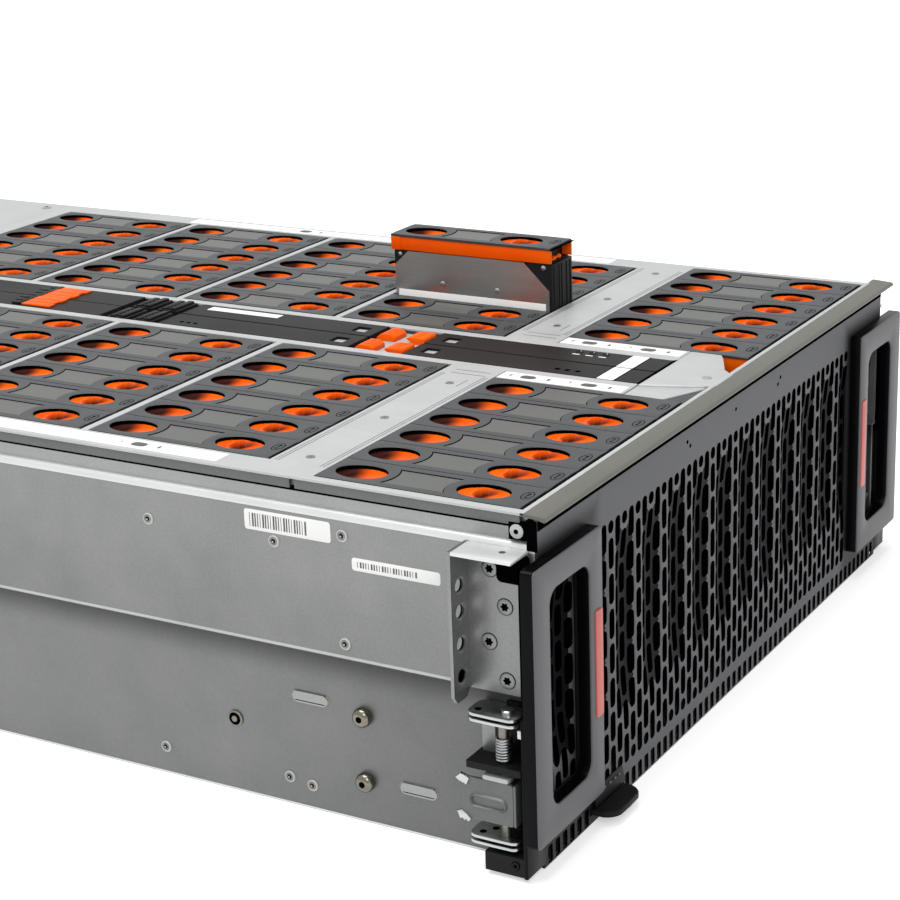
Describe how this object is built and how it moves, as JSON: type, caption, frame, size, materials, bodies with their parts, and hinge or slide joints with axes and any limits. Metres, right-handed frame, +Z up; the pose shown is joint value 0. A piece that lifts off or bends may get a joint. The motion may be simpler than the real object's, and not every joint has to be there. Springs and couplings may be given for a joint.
{
  "type": "storage server",
  "caption": "Rack storage enclosure with upright drive carriers loaded from above, a slotted front with handles, rack ears with spring latches, and fans and modules at the rear.",
  "frame": {"origin": "middle of the footprint, on the floor", "axes": "+X to the right seen from the front, +Y from the front to the rear, +Z up"},
  "size_m": [0.482, 0.887, 0.213],
  "materials": {
    "zinc_plated_steel": "satin",
    "charcoal_plastic": "moulded, fine grain",
    "charcoal_paint": "powder coat",
    "red_plastic": "satin",
    "black_plastic": "moulded",
    "cap_plastic": "moulded, fine grain",
    "orange_plastic": "satin",
    "drive_casting": "cast",
    "drive_carrier": "cast body under a moulded cap",
    "module_case": "satin",
    "circuit_board": "solder mask"
  },
  "bodies": {
    "chassis": {"accent_strips": "red_plastic", "backplanes": "circuit_board", "bay_dividers": "zinc_plated_steel", "bezel_handle_left": "charcoal_plastic", "bezel_handle_right": "charcoal_plastic", "chassis_tray": "zinc_plated_steel", "crossbars": "zinc_plated_steel", "ear_brackets": "zinc_plated_steel", "fan_frames": "black_plastic", "front_gusset": "zinc_plated_steel", "front_lip": "zinc_plated_steel", "front_panel": "charcoal_paint", "inner_grilles": "zinc_plated_steel", "latch_blocks": "black_plastic", "latch_brackets": "zinc_plated_steel", "latch_pins": "zinc_plated_steel", "latch_springs": "zinc_plated_steel", "rear_cover": "zinc_plated_steel", "rear_panel": "zinc_plated_steel", "seated_caps": "cap_plastic", "seated_drives": "drive_casting", "seated_latches": "orange_plastic", "shoulder_studs": "zinc_plated_steel", "side_skins": "zinc_plated_steel", "spine_channel": "zinc_plated_steel", "spine_covers": "black_plastic", "spine_harness": "black_plastic", "spine_rails": "zinc_plated_steel", "top_rails": "zinc_plated_steel"},
    "carrier_left_1": {"carrier_left_1": "drive_carrier"},
    "carrier_left_2": {"carrier_left_2": "drive_carrier"},
    "carrier_left_3": {"carrier_left_3": "drive_carrier"},
    "carrier_left_4": {"carrier_left_4": "drive_carrier"},
    "carrier_left_5": {"carrier_left_5": "drive_carrier"},
    "carrier_left_6": {"carrier_left_6": "drive_carrier"},
    "carrier_right_1": {"carrier_right_1": "drive_carrier"},
    "carrier_right_2": {"carrier_right_2": "drive_carrier"},
    "carrier_right_3": {"carrier_right_3": "drive_carrier"},
    "carrier_right_4": {"carrier_right_4": "drive_carrier"},
    "carrier_right_5": {"carrier_right_5": "drive_carrier"},
    "carrier_right_6": {"carrier_right_6": "drive_carrier"},
    "ejector_front_left": {"ejector_front_left": "orange_plastic"},
    "ejector_front_right": {"ejector_front_right": "orange_plastic"},
    "ejector_rear_left": {"ejector_rear_left": "orange_plastic"},
    "ejector_rear_right": {"ejector_rear_right": "orange_plastic"},
    "fan_rotor_1": {"fan_rotor_1": "black_plastic"},
    "fan_rotor_2": {"fan_rotor_2": "black_plastic"},
    "fan_rotor_3": {"fan_rotor_3": "black_plastic"},
    "fan_rotor_4": {"fan_rotor_4": "black_plastic"},
    "io_module_left": {"io_module_left": "module_case"},
    "io_module_right": {"io_module_right": "module_case"},
    "latch_lever_left": {"latch_lever_left": "zinc_plated_steel"},
    "latch_lever_right": {"latch_lever_right": "zinc_plated_steel"},
    "psu_left": {"psu_left": "module_case"},
    "psu_right": {"psu_right": "module_case"},
    "raised_carrier": {"raised_cap": "cap_plastic", "raised_plate": "zinc_plated_steel", "raised_drive": "drive_casting"},
    "raised_latch": {"raised_latch": "orange_plastic"},
    "service_tag": {"service_tag": "black_plastic"}
  },
  "joints": [
    {"name": "carrier_left_1_lift", "type": "slide", "parent": "chassis", "child": "carrier_left_1", "axis": [0, 0, 1], "range_m": [0, 0.11]},
    {"name": "carrier_left_2_lift", "type": "slide", "parent": "chassis", "child": "carrier_left_2", "axis": [0, 0, 1], "range_m": [0, 0.11]},
    {"name": "carrier_left_3_lift", "type": "slide", "parent": "chassis", "child": "carrier_left_3", "axis": [0, 0, 1], "range_m": [0, 0.11]},
    {"name": "carrier_left_4_lift", "type": "slide", "parent": "chassis", "child": "carrier_left_4", "axis": [0, 0, 1], "range_m": [0, 0.11]},
    {"name": "carrier_left_5_lift", "type": "slide", "parent": "chassis", "child": "carrier_left_5", "axis": [0, 0, 1], "range_m": [0, 0.11]},
    {"name": "carrier_left_6_lift", "type": "slide", "parent": "chassis", "child": "carrier_left_6", "axis": [0, 0, 1], "range_m": [0, 0.11]},
    {"name": "carrier_right_1_lift", "type": "slide", "parent": "chassis", "child": "carrier_right_1", "axis": [0, 0, 1], "range_m": [0, 0.11]},
    {"name": "carrier_right_2_lift", "type": "slide", "parent": "chassis", "child": "carrier_right_2", "axis": [0, 0, 1], "range_m": [0, 0.11]},
    {"name": "carrier_right_3_lift", "type": "slide", "parent": "chassis", "child": "carrier_right_3", "axis": [0, 0, 1], "range_m": [0, 0.11]},
    {"name": "carrier_right_4_lift", "type": "slide", "parent": "chassis", "child": "carrier_right_4", "axis": [0, 0, 1], "range_m": [0, 0.11]},
    {"name": "carrier_right_5_lift", "type": "slide", "parent": "chassis", "child": "carrier_right_5", "axis": [0, 0, 1], "range_m": [0, 0.11]},
    {"name": "carrier_right_6_lift", "type": "slide", "parent": "chassis", "child": "carrier_right_6", "axis": [0, 0, 1], "range_m": [0, 0.11]},
    {"name": "raised_carrier_lift", "type": "slide", "parent": "chassis", "child": "raised_carrier", "axis": [0, 0, 1], "range_m": [-0.038, 0.095]},
    {"name": "raised_latch_press", "type": "slide", "parent": "raised_carrier", "child": "raised_latch", "axis": [0, 1, 0], "range_m": [0, 0.003], "stiffness_N_per_m": 400},
    {"name": "service_tag_pull", "type": "slide", "parent": "chassis", "child": "service_tag", "axis": [0, -1, 0], "range_m": [0, 0.055]},
    {"name": "latch_lever_left_swing", "type": "hinge", "parent": "chassis", "child": "latch_lever_left", "pos_m": [-0.232, -0.4155, 0.0355], "axis": [0, 0, 1], "range_deg": [0, 25], "stiffness_Nm_per_rad": 0.3},
    {"name": "ejector_front_left_tip", "type": "hinge", "parent": "chassis", "child": "ejector_front_left", "pos_m": [-0.012, -0.2375, 0.1736], "axis": [1, 0, 0], "range_deg": [0, 70]},
    {"name": "ejector_rear_left_tip", "type": "hinge", "parent": "chassis", "child": "ejector_rear_left", "pos_m": [-0.012, -0.2075, 0.1736], "axis": [-1, 0, 0], "range_deg": [0, 70]},
    {"name": "psu_left_pull", "type": "slide", "parent": "chassis", "child": "psu_left", "axis": [0, 1, 0], "range_m": [0, 0.17]},
    {"name": "io_module_left_pull", "type": "slide", "parent": "chassis", "child": "io_module_left", "axis": [0, 1, 0], "range_m": [0, 0.17]},
    {"name": "latch_lever_right_swing", "type": "hinge", "parent": "chassis", "child": "latch_lever_right", "pos_m": [0.232, -0.4155, 0.0355], "axis": [0, 0, -1], "range_deg": [0, 25], "stiffness_Nm_per_rad": 0.3},
    {"name": "ejector_front_right_tip", "type": "hinge", "parent": "chassis", "child": "ejector_front_right", "pos_m": [0.012, -0.2375, 0.1736], "axis": [1, 0, 0], "range_deg": [0, 70]},
    {"name": "ejector_rear_right_tip", "type": "hinge", "parent": "chassis", "child": "ejector_rear_right", "pos_m": [0.012, -0.2075, 0.1736], "axis": [-1, 0, 0], "range_deg": [0, 70]},
    {"name": "psu_right_pull", "type": "slide", "parent": "chassis", "child": "psu_right", "axis": [0, 1, 0], "range_m": [0, 0.17]},
    {"name": "io_module_right_pull", "type": "slide", "parent": "chassis", "child": "io_module_right", "axis": [0, 1, 0], "range_m": [0, 0.17]},
    {"name": "fan_rotor_1_spin", "type": "hinge", "parent": "chassis", "child": "fan_rotor_1", "pos_m": [-0.126, 0.409, 0.13], "axis": [0, 1, 0], "continuous": true},
    {"name": "fan_rotor_2_spin", "type": "hinge", "parent": "chassis", "child": "fan_rotor_2", "pos_m": [-0.042, 0.409, 0.13], "axis": [0, 1, 0], "continuous": true},
    {"name": "fan_rotor_3_spin", "type": "hinge", "parent": "chassis", "child": "fan_rotor_3", "pos_m": [0.042, 0.409, 0.13], "axis": [0, 1, 0], "continuous": true},
    {"name": "fan_rotor_4_spin", "type": "hinge", "parent": "chassis", "child": "fan_rotor_4", "pos_m": [0.126, 0.409, 0.13], "axis": [0, 1, 0], "continuous": true}
  ]
}
